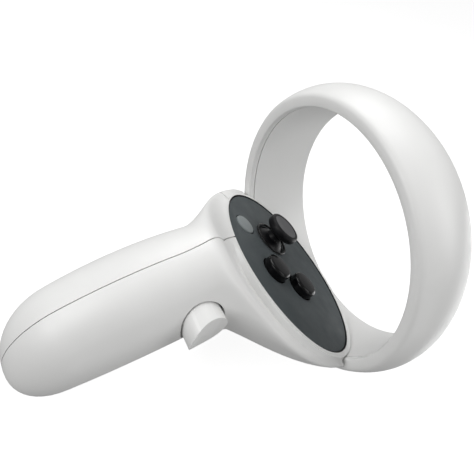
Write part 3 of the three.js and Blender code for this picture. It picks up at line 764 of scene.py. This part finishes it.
def smoothed(node, look):
    """A small inner part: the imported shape, with its doubles merged and its curves smooth."""
    source = frame["nodes"][node]
    twin = copy_of(source)
    twin.parent = None
    for key in list(twin.keys()):
        del twin[key]
    twin.name = node + "_fine"
    editing(twin)
    bpy.ops.mesh.remove_doubles(threshold=1e-7)
    bpy.ops.mesh.tris_convert_to_quads()
    bpy.ops.object.mode_set(mode="OBJECT")
    twin.data.materials.clear()
    twin.data.materials.append(look)
    bpy.ops.object.shade_smooth_by_angle(angle=math.radians(40))
    body = next(name for name, members in frame["record"]["behaviour"]["bodies"].items() if node in members)
    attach(twin, body)
    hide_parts(node)


def inner_parts():
    for look, slot, nodes in (
        (GREEN, "board_green", ("ring_led_strip", "main_board")),
        (STEEL, "steel", ("ring_screw_right", "ring_screw_left", "face_screw_1", "face_screw_2",
                          "face_screw_3", "haptic_motor", "trigger_pin", "trigger_spring", "grip_pin",
                          "grip_spring", "spring_contact", "stick_yoke")),
        (INNER, "inner_black", ("stick_base", "stick_rocker", "battery_tray")),
        (SILICONE, "silicone_grey", ("button_pad",)),
        (BRASS, "brass", ("top_contact",)),
    ):
        for node in nodes:
            smoothed(node, look)


# ---- stage, light and camera -----------------------------------------------------------------


def floor():
    bpy.ops.object.select_all(action="DESELECT")
    bpy.ops.mesh.primitive_plane_add(size=8, location=(0, 0, -0.0002))
    plane = bpy.context.object
    plane.name = "floor"
    look = bpy.data.materials.new("pale_floor")
    look.use_nodes = True
    shader = look.node_tree.nodes["Principled BSDF"]
    shader.inputs["Base Color"].default_value = (0.35, 0.35, 0.35, 1)
    shader.inputs["Roughness"].default_value = 0.9
    shader.inputs["Emission Color"].default_value = (1, 1, 1, 1)
    shader.inputs["Emission Strength"].default_value = 0.85
    plane.data.materials.append(look)
    plane.visible_diffuse = False
    plane.visible_glossy = False


CAMERA_RIGHT = Vector((0.42914, -0.27097, 0.86164))
CAMERA_UP = Vector((-0.78057, -0.59124, 0.20283))
CAMERA_BACK = Vector((0.45447, -0.75961, -0.46524))
CAMERA_AT = Vector((75.9, -154.9, -106.3))
CAMERA_SENSOR, CAMERA_LENS = 36, 45.57
LIGHT_FAR = 0.6


def soft_light(name, right, up, back, size, share):
    """A round soft box seen from the camera's side: right, up and back say where it stands."""
    light = bpy.data.lights.new(name, "AREA")
    light.shape, light.size = "DISK", size
    light.energy = share * (math.pi * LIGHT_FAR) ** 2
    obj = bpy.data.objects.new(name, light)
    bpy.context.scene.collection.objects.link(obj)
    way = (CAMERA_RIGHT * right + CAMERA_UP * up + CAMERA_BACK * back).normalized()
    way = LAID_DOWN.to_3x3().normalized() @ way
    middle = LAID_DOWN @ Vector((0, -8, -30))
    turn = way.to_track_quat("Z", "Y").to_matrix().to_4x4()
    obj.matrix_world = Matrix.Translation(middle + way * LIGHT_FAR) @ turn


def studio():
    """Soft boxes all round: the strongest above, then at the camera's left."""
    scene = bpy.context.scene
    scene.view_settings.view_transform = "Standard"
    world = bpy.data.worlds.new("studio")
    world.use_nodes = True
    world.node_tree.nodes["Background"].inputs["Color"].default_value = (1, 1, 1, 1)
    world.node_tree.nodes["Background"].inputs["Strength"].default_value = 0.3
    scene.world = world
    soft_light("top_light", 0.1, 1.0, 0.2, 0.5, 0.62)
    soft_light("left_light", -0.6, 0.25, 0.85, 0.4, 0.45)
    soft_light("right_light", 0.9, 0.1, 0.4, 0.4, 0.3)
    soft_light("back_light", 0.75, -0.25, -0.65, 0.5, 0.3)
    soft_light("low_light", 0.3, -0.75, 0.2, 0.5, 0.26)


def camera():
    """In the upright frame the camera stands behind the grip, to its right and below the head."""
    lens = bpy.data.cameras.new("camera")
    lens.sensor_width, lens.lens = CAMERA_SENSOR, CAMERA_LENS
    lens.clip_start, lens.clip_end = 0.01, 20
    obj = bpy.data.objects.new("camera", lens)
    bpy.context.scene.collection.objects.link(obj)
    turn = LAID_DOWN.to_3x3().normalized() @ Matrix((CAMERA_RIGHT, CAMERA_UP, CAMERA_BACK)).transposed()
    at = LAID_DOWN @ CAMERA_AT
    obj.matrix_world = Matrix.Translation(at) @ turn.to_4x4()
    bpy.context.scene.camera = obj


# ---- put it together -------------------------------------------------------------------------

camera()
studio()
floor()
shell_and_cover()
ring_band()
ring_lining()
faceplate()
stick_collar()
thumbstick()
domed_button("lower_domed_button", "lower_key", "lower_button", *LOWER_BUTTON)
domed_button("upper_domed_button", "upper_key", "upper_button", *UPPER_BUTTON)
menu_button()
trigger()
grip_key()
battery()
inner_parts()
